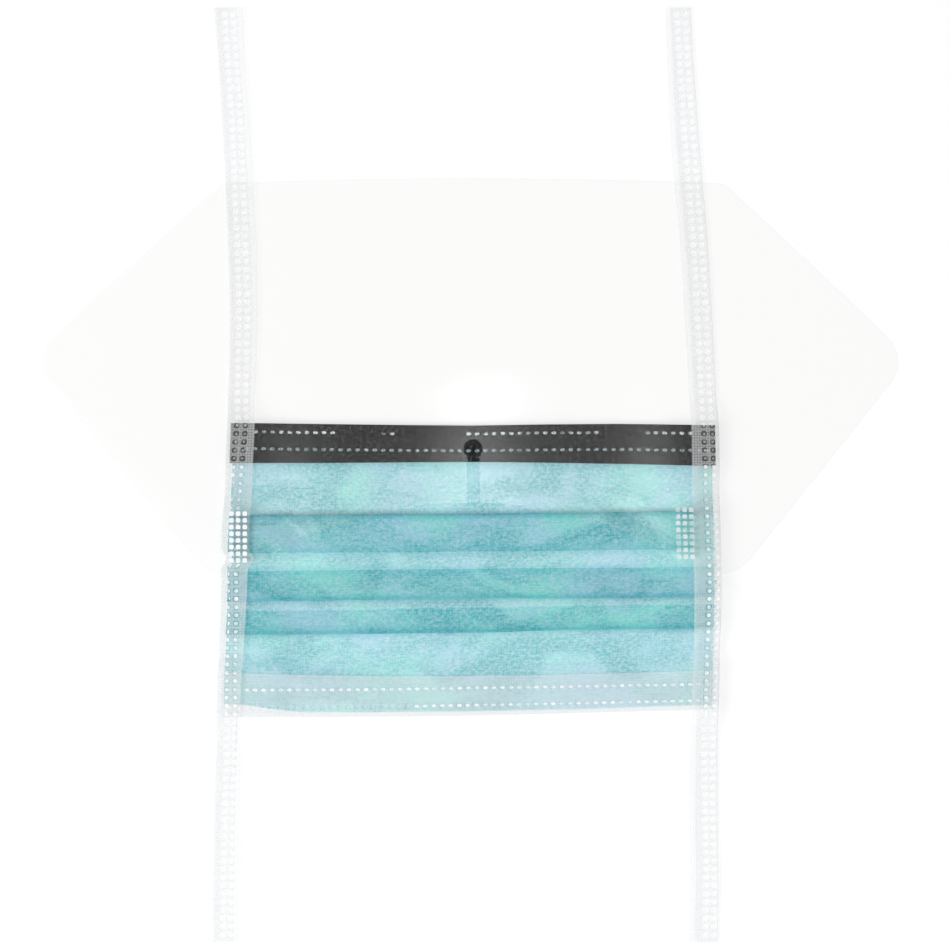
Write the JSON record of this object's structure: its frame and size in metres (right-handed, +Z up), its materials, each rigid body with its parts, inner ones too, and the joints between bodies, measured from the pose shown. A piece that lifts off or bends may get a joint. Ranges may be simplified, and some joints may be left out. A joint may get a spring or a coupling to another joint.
{
  "type": "surgical face mask with visor",
  "caption": "Pleated tie-on face mask lying flat on its back, with a black anti-glare strip, white bindings and a clear film visor.",
  "frame": {"origin": "middle of the footprint, on the surface that the mask lies on", "axes": "+Y along the ties, from the chin edge up to the visor; +X to the right as seen from above; +Z up, out of the mask's outer face"},
  "size_m": [0.2998, 0.3276, 0.0076],
  "materials": {
    "teal_cloth": "matte spunbond non-woven, several thin translucent layers",
    "black_cloth": "matte black non-woven with two rows of weld dots",
    "white_cloth": "matte translucent white non-woven with two rows of weld dots",
    "clear_film": "clear glossy anti-fog film"
  },
  "bodies": {
    "root": {"mask_body": "teal_cloth", "antiglare_strip": "black_cloth", "bottom_binding": "white_cloth", "tie_left": "white_cloth", "tie_right": "white_cloth", "visor": "clear_film"}
  },
  "joints": []
}
